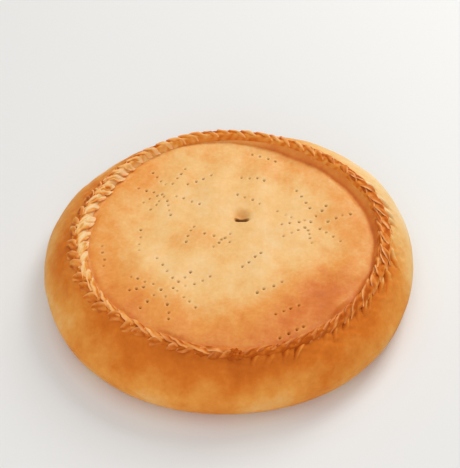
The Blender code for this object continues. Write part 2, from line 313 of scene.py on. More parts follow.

# %% [markdown]
# ## The bed of the braid
#
# Under the folds the seam is a bead of dough. It is painted dark on top, where it shows
# in the gaps between the folds, as painted shade over deep browning, and is paler down
# its inner and outer feet, where it runs into the lid and the wall. A bevelled curve
# could make it, but its height and its two widths change round the pie, so it is a grid.
# Its section is a low bump, highest on the crest line and dented between the folds, and
# its last column is a root inside the pie, so that the ring is closed.

# %% Braid bed
BED_AZIMUTHS = (0, 30, 60, 90, 120, 150, 180, 210, 240, 270, 300, 330)
BED_HEIGHT = (2.0, 2.0, 2.1, 2.1, 1.9, 1.6, 1.6, 1.6, 1.6, 1.5, 1.6, 1.8)
BED_OUTER = (3.4, 3.4, 3.8, 4.5, 4.0, 3.4, 3.2, 3.0, 3.0, 3.0, 3.0, 3.4)
BED_INNER = (6.5, 6.0, 4.8, 3.8, 3.4, 5.5, 7.5, 5.5, 3.2, 2.8, 4.4, 6.0)
BED_INNER_TOAST = (0.60, 0.62, 0.62, 0.58, 0.44, 0.24, 0.20, 0.32, 0.60, 0.72, 0.74, 0.66)
BED_OUTER_TOAST = (0.34, 0.36, 0.45, 0.60, 0.66, 0.60, 0.58, 0.62, 0.76, 0.92, 0.95, 0.62)
BED_GAP_SHADE_AND_TOAST = 0.92
BED_FULLNESS = 2.5
BED_DENT = 0.14
BED_DENT_TRAIL = 0.9
BED_TUCK = 0.0008
TUCK_POWER = 6
BED_BLOTCHES = ((0.12, 0.005, 51),)
INNER_FADE = 0.3
OUTER_FADE_START = 0.20
OUTER_FADE = 0.4
BED_ROWS = 900
BED_COLUMNS = 21
ROOT_DEPTH = 0.0060

bed_azimuth = np.linspace(0, 2 * math.pi, BED_ROWS, endpoint=False)[:, None]
bed_share = np.linspace(-1.0, 1.0, BED_COLUMNS)[None, :]
bed_outer = around(bed_azimuth, BED_AZIMUTHS, BED_OUTER)
bed_inner = around(bed_azimuth, BED_AZIMUTHS, BED_INNER)
bed_out = MM * bed_share * np.where(bed_share > 0, bed_outer, bed_inner)
bed_bump = MM * around(bed_azimuth, BED_AZIMUTHS, BED_HEIGHT) * (1.0 - np.abs(bed_share) ** BED_FULLNESS)
bed_count = count_of(bed_azimuth) + BED_DENT_TRAIL * np.abs(bed_share)
bed_relief = bed_bump * (1.0 - BED_DENT + BED_DENT * np.cos(2 * math.pi * bed_count))
bed_points = on_skin(bed_azimuth, bed_out, bed_relief - BED_TUCK * np.abs(bed_share) ** TUCK_POWER)
bed_root = on_skin(bed_azimuth, np.zeros((1, 1)), np.full((1, 1), -ROOT_DEPTH))
bed_points = np.concatenate([bed_points, bed_root], axis=1)

inner_drop = BED_GAP_SHADE_AND_TOAST - around(bed_azimuth, BED_AZIMUTHS, BED_INNER_TOAST)
outer_drop = BED_GAP_SHADE_AND_TOAST - around(bed_azimuth, BED_AZIMUTHS, BED_OUTER_TOAST)
# The top of the bed, seen between the folds, is painted dark as shade over deep browning.
bed_toast = BED_GAP_SHADE_AND_TOAST - inner_drop * ease(-bed_share / INNER_FADE)
bed_toast = bed_toast - outer_drop * ease((bed_share - OUTER_FADE_START) / OUTER_FADE)
bed_toast = np.concatenate([bed_toast, bed_toast[:, :1]], axis=1) + layered(bed_points, BED_BLOTCHES)
bed = grid_piece("braid_bed", bed_points, {"toast": bed_toast}, round_rows=True, round_columns=True)

# %% [markdown]
# ## The sizes of the folds
#
# Each fold has two leaves of dough that trail clockwise: one goes out and down the wall,
# the other lies in towards the lid. One leaf could be modelled and copied, but the
# baker's hand changed on the way round: long leaves cross the whole seam on the right,
# a pale ribbon with small petals runs down the left, and a thin rope lies at the front.
# So each row below is one azimuth with all sizes of a leaf there, and the folds between
# read their sizes from the rows beside them. Start and reach are the distances from the
# crest line at the root and the tip, to the leaf's own side, so one below zero lies
# across the crest. Trail is how far the leaf runs clockwise, and the lifts are its
# heights off the skin, all in millimetres. The bend, the lip of the ahead edge, the lip of
# the far rim and the paleness are plain numbers, and a paleness below zero browns the
# leaf. The crinkle is how far soft lumps shake it, in millimetres.

# %% Fold sizes
FOLD_SIZES = (
    "start", "reach", "trail", "width", "bend", "root_lift", "middle_lift", "tip_lift",
    "thickness", "curl", "tilt", "lip_and_highlight", "rim", "pale",
)
PLAIN_NUMBERS = ("bend", "lip_and_highlight", "rim", "pale")
OUTER_FOLDS = (
    (  0, -3.6,   4,   15, 3.6,  1.3,   1, 2.3,  0.3, 1.3, -0.2, 0.9,    1,   0,  0.02),
    ( 15, -3.4,   3, 14.5, 3.8,  1.3,   1, 2.4,  0.4, 1.4, -0.2, 0.9,    1,   0,  -0.1),
    ( 28,   -3, 2.6,   14, 4.4,  1.2, 1.2, 2.6,  0.8, 1.6, -0.3, 0.9,  0.9,   0, -0.24),
    ( 42, -1.5, 2.6,   13,   4,  1.1, 0.8, 1.6,  0.2, 1.4, -0.2, 0.6,  0.8,   0, -0.26),
    ( 60,    0, 2.4,   12, 2.8,  1.1, 0.6,   1,  0.3, 1.2,    0, 0.5,  0.8,   0, -0.02),
    ( 80,    0, 2.4,   12, 2.4,  1.1, 0.6, 0.9,  0.3, 1.1,    0, 0.4,  0.8,   0,  0.12),
    (110,    0, 2.4,   12, 2.4,  1.1, 0.6, 0.9,  0.3,   1,    0, 0.4,  0.8,   0,  0.16),
    (130,    0, 2.6,   11, 2.4,  1.4, 0.8,   1,  0.5,   1,  0.1, 0.6,  0.8, 0.3,  0.12),
    (145,  0.2,   3,   10, 2.8,  1.8, 1.2, 1.4,  1.1,   1,  0.2, 0.8,  0.9, 0.7,   0.1),
    (160,  0.3, 3.8,   10, 3.4,  1.8, 1.2, 1.5,  1.3,   1,  0.3, 0.8,  0.9, 0.8,  0.08),
    (175,  0.4, 4.4,   10, 4.4,  1.6, 1.2, 1.4,  1.1, 1.1,  0.3, 0.9,  0.9, 0.6,   0.1),
    (190,  0.4, 5.2, 10.5, 5.6,  1.5, 1.2, 1.3,  0.8, 1.2,  0.2,   1,  0.8, 0.3,   0.1),
    (205,  0.4,   6,   11, 6.2, 1.35, 1.1, 1.2,  0.6, 1.2,  0.1, 1.1,  0.7,   0,  0.06),
    (220,  0.4, 6.2,   11, 6.2,  1.3,   1,   1,  0.3, 1.2,  0.1, 1.1,  0.6,   0,     0),
    (240,  0.5, 5.2,   10, 5.2, 1.25, 0.9, 0.7, -0.1, 1.2,  0.1, 1.1,  0.5,   0, -0.06),
    (262,  0.4, 4.2,   10, 3.8,  1.2, 0.8, 0.5, -0.3, 1.2,    0, 0.9, 0.45,   0, -0.12),
    (285, -2.2,   2,   16,   2,  1.3, 0.9, 1.4, -0.2, 1.5, -0.2, 0.5, 0.25,   0, -0.26),
    (305, -2.6, 2.6,   16, 2.2,  1.3, 0.9, 1.6,    0, 1.4, -0.2, 0.6, 0.28,   0, -0.26),
    (325, -3.2, 3.4,   16, 2.8,  1.3,   1, 1.9,  0.2, 1.3, -0.2, 0.8,  0.5,   0, -0.14),
    (345, -3.6, 4.2,   15, 3.4,  1.3,   1, 2.2,  0.3, 1.3, -0.2, 0.9,  0.9,   0,     0),
)
INNER_FOLDS = (
    (  0,  5.4,  2.6, 16, 2.6,   1, 0.6, 1.6, 1.4, 1.2, -0.1,    0, 0.7,   0,  0.02),
    ( 15,    5,  2.8, 16, 2.6,   1, 0.6, 1.6, 1.4, 1.2, -0.1,    0, 0.7,   0, -0.04),
    ( 28,    2,  3.4, 12,   3, 1.1, 0.8, 1.8, 1.4, 1.2, -0.1,  0.3, 0.8,   0, -0.12),
    ( 42,   -1,  3.6, 11, 3.4, 1.1, 1.4, 2.2, 1.3, 1.1, -0.1,  0.6, 0.8,   0, -0.12),
    ( 60, -1.6,  3.2, 12, 2.4, 1.1, 1.8, 2.2, 1.1, 0.9, -0.1,  0.6, 0.9,   0,  0.04),
    ( 80,   -2,  2.8, 14, 2.1, 1.1, 1.9, 2.1,   1, 0.9, -0.1,  0.6,   1,   0,   0.2),
    (110, -2.2,  2.8, 13, 2.1, 1.1, 1.9, 2.1,   1, 0.9,    0,  0.6,   1,   0,  0.24),
    (130, -1.6,  3.4, 12, 2.4, 1.1, 1.7, 2.1,   1, 0.9,  0.2,  0.5,   1, 0.2,  0.44),
    (145, -0.8,  5.4, 13, 3.6, 1.1, 1.5, 1.9, 1.1, 0.8,  0.4,  0.4, 0.9, 0.8,  0.66),
    (160, -0.4,    7, 15, 4.8, 1.1, 1.4, 1.6, 0.9, 0.6, 0.25, 0.25, 0.8,   1,   0.7),
    (175, -0.2,  7.6, 17, 5.2, 1.1, 1.4, 1.5, 0.7, 0.6, 0.15,  0.2, 0.7, 0.9,  0.72),
    (190,    0,  7.6, 20,   5, 1.1, 1.4, 1.5, 0.6, 0.6, 0.05,  0.2, 0.7, 0.6,   0.8),
    (205, -0.3,  6.4, 23, 4.2, 1.1, 1.3, 1.6, 0.7, 0.9,    0,  0.3, 0.8, 0.3,   0.8),
    (220, -0.6,    5, 23, 3.2, 1.1, 1.2, 1.8, 0.9, 1.3, -0.1,  0.5, 0.8, 0.1,  0.46),
    (240, -1.2,    3, 20,   3, 1.1,   1, 1.8, 1.1, 1.5, -0.2,  0.4, 0.8,   0,  0.24),
    (262, -1.4,  2.2, 19, 2.8, 1.1,   1, 1.7, 1.1, 1.5, -0.2,  0.4, 0.6,   0,   0.1),
    (285,  2.6, -0.8, 15, 1.8,   1, 0.5, 1.6, 0.4,   1,    0,    0, 0.3,   0,  -0.1),
    (305,  3.4, -0.2, 15, 1.9,   1, 0.5, 1.6, 0.6,   1,    0,    0, 0.3,   0,  -0.2),
    (325,  4.6,  1.4, 16, 2.2,   1, 0.6, 1.5,   1,   1,    0,    0, 0.4,   0, -0.08),
    (345,  5.4,  2.4, 16, 2.6,   1, 0.6, 1.5, 1.3, 1.2, -0.1,    0, 0.6,   0, -0.02),
)
CRINKLE = (
    0.15, 0.15, 0.15, 0.15, 0.1, 0.1, 0.1, 0.25, 0.4, 0.5,
    0.45, 0.4, 0.3, 0.3, 0.3, 0.3, 0.3, 0.3, 0.25, 0.2,
)
FOLD_AZIMUTHS = [row[0] for row in OUTER_FOLDS]
print(len(FOLD_AZIMUTHS), "rows of", len(FOLD_SIZES), "sizes for each kind of leaf")

# %% [markdown]
# ## The shape of a leaf
#
# A leaf is a thin lens carried along a short curved path. It is narrow at its root,
# widest past its middle and rounded at its tip. Its ahead edge, on the side of the crest,
# stands up, and its other edge slips under the leaf before it, so that the leaves lap
# like shingles. Three small functions hold the outline, the path and the height, so that
# each can be changed alone.

# %% Leaf shape
WIDEST = 0.60
ROOT_WIDTH = 0.55
ROOT_CLOSE = 0.05
TIP_POWER = 0.7
ROOT_OFFSET = 0.02
LIFT_TURN = 0.45
LEVEL_CURL = 0.4
EDGE_FULLNESS = 0.30


def leaf_outline(along):
    """Width share of a leaf: an eased swell from a narrow root, and a tip that closes by a power.

    The tip is one less the square of the way from the widest part, to the power 0.7,
    which is a little sharper than a quarter ellipse.
    """
    swell = ROOT_WIDTH + (1.0 - ROOT_WIDTH) * ease(along / WIDEST)
    tip = (1.0 - (np.clip(along - WIDEST, 0.0, None) / (1.0 - WIDEST)) ** 2) ** TIP_POWER
    root = np.sqrt(np.clip(along / ROOT_CLOSE, 0.0, 1.0))
    return swell * tip * root


def leaf_path(size, along, bow):
    """Middle line of a leaf: how far it has trailed and gone out, and the shares of its direction.

    The trail grows evenly but for a slight bow. The distance from the crest goes from start
    to reach by a power, the bend. The direction is the growth of both, shortened to length
    one, and a small offset keeps a bend below one from growing without end at the root.
    """
    trail = size["trail"] * (along + bow * along * (1 - along))
    out = size["start"] + (size["reach"] - size["start"]) * along ** size["bend"]
    trail_growth = size["trail"] * (1 + bow * (1 - 2 * along))
    out_growth = (size["reach"] - size["start"]) * size["bend"] * (along + ROOT_OFFSET) ** (size["bend"] - 1.0)
    growth = np.hypot(trail_growth, out_growth)
    return trail, out, trail_growth / growth, out_growth / growth


def leaf_relief(size, along, angle):
    """Height of a leaf off the skin, along it and round its section.

    The lift is eased from the root to the middle and on to the tip. Round the section, the
    cosine of the angle is the place between the ahead edge (-1) and the covered edge (1),
    and its sine is the lower or upper face. Tilt times that place lifts the ahead edge,
    and curl times its square, less a level, lifts both and sinks the middle.
    """
    edge = np.cos(angle)
    outline = leaf_outline(along)
    rise = ease(along / LIFT_TURN)
    fall = ease((along - LIFT_TURN) / (1.0 - LIFT_TURN))
    lift = size["root_lift"] + (size["middle_lift"] - size["root_lift"]) * rise
    lift = lift + (size["tip_lift"] - size["middle_lift"]) * fall
    lift = lift + outline * (size["curl"] * (edge**2 - LEVEL_CURL) - size["tilt"] * edge)
    return lift + size["thickness"] / 2 * (1.0 + EDGE_FULLNESS * edge) * np.sin(angle) * np.sqrt(outline)


print("a leaf's width at its root, middle and tip:", np.round(leaf_outline(np.array([0.05, 0.6, 0.95])), 2))

# %% [markdown]
# ## The baked edges of a leaf
#
# Dough browns where it stands up in the heat, but the thin cut edges of these folds stay
# pale, and on the upper face the lip also carries a painted highlight. The crevice where
# one leaf slips under the next is painted darkest, as shade over browned dough. Pointiness
# or a bevel shader could find edges, but they know nothing of which edge is covered. The
# leaf's own formula knows, so it gives each point two marks. The lip fades out over a
# fixed width from the ahead edge, and on the left also from the tip and the far rim. The
# toast is deepest in the crevice and underneath, where it is painted shade. Pale streaks
# run along the leaf, where the dough was drawn out, and the paleness of its row grows
# towards its tip.

# %% Leaf marks
LIP_BLUNT = 0.0002
LIP_WIDTH = 0.0010
CREVICE_WIDTH = 0.0016
LEAST_SEEN = 0.0024
LEAF_TOAST = 0.72
CREVICE_SHADE_AND_TOAST = 0.24
UNDER_SHADE = 0.16
STREAK_TOAST = -0.18
MOOD_TOAST = 0.08
PALE_ROOT = 0.35
PALE_GROWTH = 0.85
CREVICE_LOSS = 0.3
EDGE_LIP_GROWTH = 0.25
RIM_LIP_START = 0.4
RIM_LIP_GROWTH = 0.3
LIP_STRENGTH = 0.85
LIP_MOOD = 0.1
LIP_SPOTS = 0.45
LIP_SPOT_SIZE = 0.005
LIP_EVERYWHERE = 0.04
LIP_STREAKS = 0.10
FACE_TURN = 1.5


def near_edge(distance):
    """1 at an edge, falling with ease to 0 over the width of a lip."""
    return 1.0 - ease((distance - LIP_BLUNT) / LIP_WIDTH)


def leaf_marks(size, along, angle, covered_from, streak, mood, spots):
    """Toast and lip of a leaf, from the distances to its edges, its streaks, its mood and soft spots; the
    toast holds painted shade in the crevice and underneath, and the lip a painted highlight.
    """
    edge = np.cos(angle)
    half_width = leaf_outline(along) * size["width"] / 2
    from_edge = (1.0 + edge) * half_width
    from_rim = np.minimum((1.0 - edge) * half_width, (1.0 - along) * size["trail"])
    rim_lip = near_edge(from_rim) * size["rim"] * ease((along - RIM_LIP_START) / RIM_LIP_GROWTH)
    # On the upper face the lip also carries a painted highlight.
    lip_and_highlight = np.maximum(near_edge(from_edge) * ease(along / EDGE_LIP_GROWTH), rim_lip) * size["lip_and_highlight"]
    lip_and_highlight = lip_and_highlight * (LIP_STRENGTH + LIP_MOOD * mood + LIP_SPOTS * spots) + LIP_EVERYWHERE + LIP_STREAKS * streak
    lip_and_highlight = np.clip(lip_and_highlight, 0.0, 1.0) * ease(np.sin(angle) * FACE_TURN + 1.0)
    # The crevice under the lip before it, and the underside, are painted darker as shade.
    covered = ease((from_edge - covered_from + CREVICE_WIDTH) / CREVICE_WIDTH)
    underside_shade = 1.0 - ease(np.sin(angle) * FACE_TURN + 0.5)
    toast = LEAF_TOAST + CREVICE_SHADE_AND_TOAST * covered + UNDER_SHADE * underside_shade
    toast = toast + MOOD_TOAST * mood + STREAK_TOAST * streak
    toast = toast - size["pale"] * (PALE_ROOT + PALE_GROWTH * along) * (1.0 - CREVICE_LOSS * covered)
    return {"toast": toast, "lip_and_highlight": lip_and_highlight}


print("lip at 0, 0.5 and 1 mm from the edge:", np.round(near_edge(MM * np.array([0.0, 0.5, 1.0])), 2))

# %% [markdown]
# ## The braid
#
# All leaves of a kind are one mesh, because a stack of grids costs no more than one
# grid. Each fold draws its own small differences, by chance with a fixed seed: where it
# starts, how its path bows, and how much each size varies. Before the leaves are laid
# down for good, soft lumps crinkle them where the dough was loose, up and down and also
# sideways, and the streaks raise fine ridges along them. The streaks are lumps that are
# drawn out along the leaf, and a step from one fold to the next gives each its own.

# %% Leaves of the folds
LEAF_ROWS = 30
LEAF_COLUMNS = 24
PLACE_SHIFT = 0.14
BOW_RANGE = (-0.10, 0.25)
STREAK_WIDTH = 0.0019
STREAK_STRETCH = 0.2
STREAK_STEP = 0.1
STREAK_RELIEF = 0.00036
RIM_STREAK = 0.8
CRINKLE_SIZE = 0.0032
SIDE_CRINKLE = 0.6
SIDE_CRINKLE_SIZE = 0.0042
LIFT_LUMPS = (0.00022, 0.0060)
SIDE_LUMPS = (0.00025, 0.0070)


def leaf_sizes(table, root_azimuth, unevenness, chance):
    """Reads each fold's sizes at its azimuth, and makes each one uneven by chance."""
    size = {}
    for key, values in zip(FOLD_SIZES, np.transpose(table)[1:]):
        unit = 1.0 if key in PLAIN_NUMBERS else MM
        varied = 1.0 + unevenness * chance.uniform(-1, 1, (FOLDS, 1, 1))
        size[key] = unit * around(root_azimuth, FOLD_AZIMUTHS, values) * varied
    return size


def make_leaves(name, table, side, seed, unevenness):
    """Makes one leaf for each fold, side 1 outwards and -1 inwards.

    A point's place is the path plus its distance across it, at right angles to the path.
    """
    chance = np.random.default_rng(seed)
    number = np.arange(FOLDS) + 0.5 + chance.uniform(-PLACE_SHIFT, PLACE_SHIFT, FOLDS)
    root_azimuth = azimuth_of(number)[:, None, None]
    size = leaf_sizes(table, root_azimuth, unevenness, chance)
    bow = chance.uniform(*BOW_RANGE, (FOLDS, 1, 1))
    mood = chance.uniform(-1, 1, (FOLDS, 1, 1))
    along = np.sin(np.linspace(0, math.pi / 2, LEAF_ROWS))[None, :, None]
    angle = np.linspace(0, 2 * math.pi, LEAF_COLUMNS, endpoint=False)[None, None, :]
    outline = leaf_outline(along)
    across = np.cos(angle) * outline * size["width"] / 2
    trail, out, trailing, outward = leaf_path(size, along, bow)
    azimuth = root_azimuth - (trail - across * outward) / BRAID_RADIUS
    out = side * (out + across * trailing)
    relief = leaf_relief(size, along, angle)
    flat = on_skin(azimuth, out, relief)
    apart = STREAK_STEP * number[:, None, None]
    strand = np.stack(np.broadcast_arrays(across, STREAK_STRETCH * trail, apart), axis=-1)
    streak = lumps(strand, STREAK_WIDTH, seed + 6)
    loose = MM * around(root_azimuth, FOLD_AZIMUTHS, CRINKLE) * outline
    relief = relief + loose * lumps(flat, CRINKLE_SIZE, seed + 1) + layered(flat, [(*LIFT_LUMPS, seed + 2)])
    relief = relief + STREAK_RELIEF * (1.0 + RIM_STREAK * size["rim"]) * streak * outline * np.sin(angle)
    out = out + SIDE_CRINKLE * loose * lumps(flat, SIDE_CRINKLE_SIZE, seed + 3)
    out = out + layered(flat, [(*SIDE_LUMPS, seed + 4)])
    points = on_skin(azimuth, out, relief)
    pitch = BRAID_RADIUS * (azimuth_of(number) - azimuth_of(number + 1.0))[:, None, None]
    covered_from = np.maximum(pitch * np.abs(outward), LEAST_SEEN)
    spots = lumps(flat, LIP_SPOT_SIZE, seed + 5)
    marks = leaf_marks(size, along, angle, covered_from, streak, mood, spots)
    order = slice(None, None, -side)
    marks = {mark: np.broadcast_to(values, points.shape[:3])[:, :, order] for mark, values in marks.items()}
    return grid_piece(name, points[:, :, order], marks, round_columns=True, weld=True)


outer_folds = make_leaves("outer_folds", OUTER_FOLDS, 1, 11, 0.17)
inner_folds = make_leaves("inner_folds", INNER_FOLDS, -1, 57, 0.15)

# %% [markdown]
# ## The knot
#
# Where the last fold meets the first, the baker pinched a small lump of dough. It could
# be sculpted, but a ball by latitude and longitude whose radius is shaken by soft lumps
# looks pinched enough at this size. It is stretched and turned into place.

# %% Knot
KNOT_SIZE = (0.0090, 0.0070, 0.0070)
KNOT_OUT = 0.0011
KNOT_SINK = 0.0004
KNOT_TURN = 0.2
KNOT_SHAKE = 0.22
KNOT_LUMP_SIZE = 0.55
KNOT_TOAST = 1.0
KNOT_TOP_LIGHT_AND_SHADE = -0.10
KNOT_BLOTCHES = ((0.15, 0.8, 6),)
KNOT_ROWS = 33
KNOT_COLUMNS = 48

latitude, longitude = np.meshgrid(
    np.linspace(-math.pi / 2, math.pi / 2, KNOT_ROWS),
    np.linspace(0, 2 * math.pi, KNOT_COLUMNS, endpoint=False),
    indexing="ij",
)
flat_ring = np.cos(latitude)
ball = np.stack([flat_ring * np.cos(longitude), flat_ring * np.sin(longitude), np.sin(latitude)], axis=-1)
ball *= 1.0 + KNOT_SHAKE * lumps(ball, KNOT_LUMP_SIZE, 5)[..., None]
knot_cos, knot_sin = math.cos(KNOT_TURN), math.sin(KNOT_TURN)
spin = np.array([[knot_cos, knot_sin, 0], [-knot_sin, knot_cos, 0], [0, 0, 1]])
knot_radius = float(braid_radius(KNOT_AZIMUTH)) + KNOT_OUT
knot_middle = (
    knot_radius * math.cos(KNOT_AZIMUTH), knot_radius * math.sin(KNOT_AZIMUTH), BRAID_BED_HEIGHT - KNOT_SINK
)
knot_points = (ball * np.array(KNOT_SIZE) / 2) @ spin + np.array(knot_middle)
# The knot's top is painted paler and its underside darker, as painted light and shade.
knot_toast = KNOT_TOAST + KNOT_TOP_LIGHT_AND_SHADE * np.sin(latitude) + layered(ball, KNOT_BLOTCHES)
knot = grid_piece("knot", knot_points[:, ::-1], {"toast": knot_toast}, round_columns=True, weld=True)

# %% [markdown]
# ## The side wall and the base
#
# The case is a profile carried round the pie: out from under the braid, down the wall,
# round the bulge to the foot and in along the flat base. A Screw modifier could turn such
# a profile, but here the profile's width changes with the azimuth. The first grid is the
# plain case, and the next cell pulls the dough about on it.

# %% Wall profile
WALL_ROWS = 90
WALL_GATHER = 1.15
FOOT_ROWS = 28
BASE_ROWS = 8
WALL_COLUMNS = 800
WALL_TUCK = 0.0015

side_azimuth = np.linspace(0, 2 * math.pi, WALL_COLUMNS, endpoint=False)[None, :]
down = np.linspace(0.0, 1.0, WALL_ROWS)[:, None] ** WALL_GATHER
wall_out = braid_radius(side_azimuth) - WALL_TUCK
bulge_out = case_radius(side_azimuth)
bed_width_share = (BRAID_BED_HALF_WIDTH + WALL_TUCK) / (bulge_out - wall_out)
wall_r = wall_out + down * (bulge_out - wall_out)
wall_z = wall_height((down - bed_width_share) / (1.0 - bed_width_share))
foot_turn = np.linspace(0.0, math.pi / 2, FOOT_ROWS + 1)[1:, None]
foot_in = CASE_RADIUS - FOOT_RADIUS
foot_r = bulge_out - foot_in * (1.0 - np.cos(foot_turn))
foot_z = CASE_BULGE_HEIGHT * (1.0 - np.sin(foot_turn)) * np.ones_like(side_azimuth)
base_r = np.linspace(1.0, 0.0, BASE_ROWS + 1)[1:, None] * (bulge_out - foot_in)
side_r = np.concatenate([wall_r, foot_r, base_r])
side_z = np.concatenate([wall_z, foot_z, np.zeros_like(base_r)])
print("case grid", side_r.shape, "from the braid to the middle of the base")

# %% [markdown]
# ## The pleats below the braid
#
# Below the braid the dough is pulled into pleats, which carry on from the folds and fade
# out down the wall. They are strongest at the right and the front right. A pleat is a
# narrow ridge with a groove beside it, both bell curves of the fold count. Each has its
# own depth, length and place, its slant changes round the pie, and it grows narrower as
# it runs down. The ridges are painted paler, as painted highlights, and the grooves
# darker, as painted shade.

# %% Pleats
PLEAT_AZIMUTHS = (0, 20, 45, 90, 135, 180, 215, 240, 270, 300, 330, 345)
PLEAT_DEPTH = (3.2, 2.4, 0.4, 0.0, 0.0, 0.0, 0.1, 0.4, 1.0, 1.9, 2.8, 3.4)
PLEAT_LENGTH = (11.0, 9.0, 6.0, 6.0, 6.0, 6.0, 6.0, 6.0, 6.0, 7.0, 9.0, 11.0)
PLEAT_STRENGTHS = (0.1, 1.2)
PLEAT_REACHES = (0.5, 1.4)
PLEAT_SHIFT = 0.18
PLEAT_SLANT = 0.85
SLANT_CHANGE = 0.7
SLANT_LUMP_SIZE = 0.020
TAPER_START = 1.3
TAPER_LOSS = 0.9
FADE_START = 0.35
FADE_LENGTH = 0.75
RIDGE_WIDTH = 0.16
GROOVE_WIDTH = 0.12
GROOVE_PLACE = 0.26
GROOVE_DEPTH = 1.2

from_braid = side_r - braid_radius(side_azimuth)
on_wall = side_z > CASE_BULGE_HEIGHT
pleat_chance = np.random.default_rng(23)
pleat_strength = pleat_chance.uniform(*PLEAT_STRENGTHS, FOLDS)
pleat_reach = pleat_chance.uniform(*PLEAT_REACHES, FOLDS)
pleat_shift = pleat_chance.uniform(-PLEAT_SHIFT, PLEAT_SHIFT, FOLDS)
rim_ring = np.stack([np.cos(side_azimuth), np.sin(side_azimuth), 0 * side_azimuth], axis=-1) * BRAID_RADIUS
pleat_slant = PLEAT_SLANT * (1.0 + SLANT_CHANGE * lumps(rim_ring, SLANT_LUMP_SIZE, 24))
pleat_count = count_of(side_azimuth + pleat_slant * from_braid / BRAID_RADIUS)
fold_number = np.floor(pleat_count).astype(int) % FOLDS
pleat_phase = pleat_count % 1.0 - 0.5 - pleat_shift[fold_number]
pleat_length = MM * around(side_azimuth, PLEAT_AZIMUTHS, PLEAT_LENGTH) * pleat_reach[fold_number]
taper = TAPER_START - np.clip(from_braid / pleat_length, 0.0, TAPER_LOSS)
ridge = np.exp(-((pleat_phase / (RIDGE_WIDTH * taper)) ** 2))
groove = np.exp(-(((pleat_phase - GROOVE_PLACE) / (GROOVE_WIDTH * taper)) ** 2))
pleat_depth = MM * around(side_azimuth, PLEAT_AZIMUTHS, PLEAT_DEPTH) * pleat_strength[fold_number]
pleat_fade = (1.0 - ease((from_braid - FADE_START * pleat_length) / (FADE_LENGTH * pleat_length))) * on_wall
pleats = pleat_depth * (ridge - GROOVE_DEPTH * groove) * pleat_fade
print("pleats from", round(pleats.min() / MM, 1), "to", round(pleats.max() / MM, 1), "mm")

# %% [markdown]
# ## The lumps of the wall
#
# Soft lumps of three sizes make the wall look patted by hand, and small flakes roughen
# the dough just below the braid. All of it pushes the wall in or out along its radius,
# and higher up a little up or down too.
# The wall may grow a little near the seam but not past the bulge, which is the pie's
# full size, and a hard limit would cut flat facets there. So the push is the smaller of
# itself and its limit with the corner between them rounded.

# %% Case
WALL_LUMPS = ((0.0007, 0.040, 31), (0.00022, 0.011, 32), (0.00007, 0.0040, 33))
FOOT_RISE = 0.010
FLAKES = ((0.00035, 0.0052, 34),)
FLAKES_END = 0.006
FLAKES_FADE = 0.012
PUSH_LIMIT = 0.002
LIMIT_START = 0.020
LIMIT_RISE = 0.012
PUSH_MARGIN = 0.0001
PUSH_EASE = 0.0004
PUSH_OUT = 0.8
LEAST_RADIUS = 0.02
PUSH_UP = 0.6
PUSH_UP_START = 0.012
PUSH_UP_RISE = 0.02
TOAST_HEIGHTS = (0.0, 0.004, 0.012, 0.020, 0.028, 0.036, 0.042)
TOAST_UP_WALL = (0.42, 0.50, 0.50, 0.54, 0.64, 0.76, 0.82)
SHEEN_AZIMUTHS = (0, 15, 35, 60, 90, 120, 160, 200, 240, 300, 330, 345)
PAINTED_SHEEN_SIDE = (0.42, 0.58, 0.55, 0.36, 0.08, 0.14, 0.18, 0.10, 0.00, 0.00, 0.02, 0.12)
WALL_BLOTCHES = ((0.075, 0.034, 35), (0.03, 0.009, 36))
PLEAT_HIGHLIGHT_AND_SHADE = 150.0
BASE_TOAST = 0.12
BASE_EDGE = 0.0015


def soft_least(one, other, rounding):
    """The smaller of two numbers: half their sum less half their difference, rounded where they meet."""
    return (one + other - np.hypot(one - other, rounding)) / 2


side = np.stack([side_r * np.cos(side_azimuth), side_r * np.sin(side_azimuth), side_z], axis=-1)
near_braid = 1.0 - ease((from_braid - FLAKES_END) / FLAKES_FADE)
flakes = layered(side, FLAKES) * near_braid * on_wall
push = layered(side, WALL_LUMPS) * ease(side_z / FOOT_RISE) + pleats + flakes
push_limit = PUSH_LIMIT * ease((side_z - LIMIT_START) / LIMIT_RISE) - PUSH_MARGIN
push = soft_least(push, push_limit, PUSH_EASE)
side[..., :2] *= (1.0 + PUSH_OUT * push / np.maximum(side_r, LEAST_RADIUS))[..., None]
side[..., 2] += PUSH_UP * push * ease((side_z - PUSH_UP_START) / PUSH_UP_RISE)

wall_toast = np.interp(side_z, TOAST_HEIGHTS, TOAST_UP_WALL) + layered(side, WALL_BLOTCHES)
# Round the side the wall is painted paler as a painted sheen, most of all on the right.
wall_toast = wall_toast - around(side_azimuth, SHEEN_AZIMUTHS, PAINTED_SHEEN_SIDE) * ease(side_z / FOOT_RISE)
# The pleats' ridges are painted paler as highlights and their grooves darker as shade.
wall_toast = wall_toast - PLEAT_HIGHLIGHT_AND_SHADE * pleats - BASE_TOAST * (1.0 - ease(side_z / BASE_EDGE))
case_piece = grid_piece("case", side, {"toast": wall_toast}, round_columns=True, weld=True)

# %% [markdown]
# ## The fork marks
#
# Before baking, the lid is pricked with a fork to let the steam out, so the pricks lie
# in rows of four. Each stab is written as the places of its first and last tine, in
# millimetres from the lid's middle, and the other two lie evenly between them. Some tines
# go into an older hole and are left out. The force of each prick is a matter of chance.

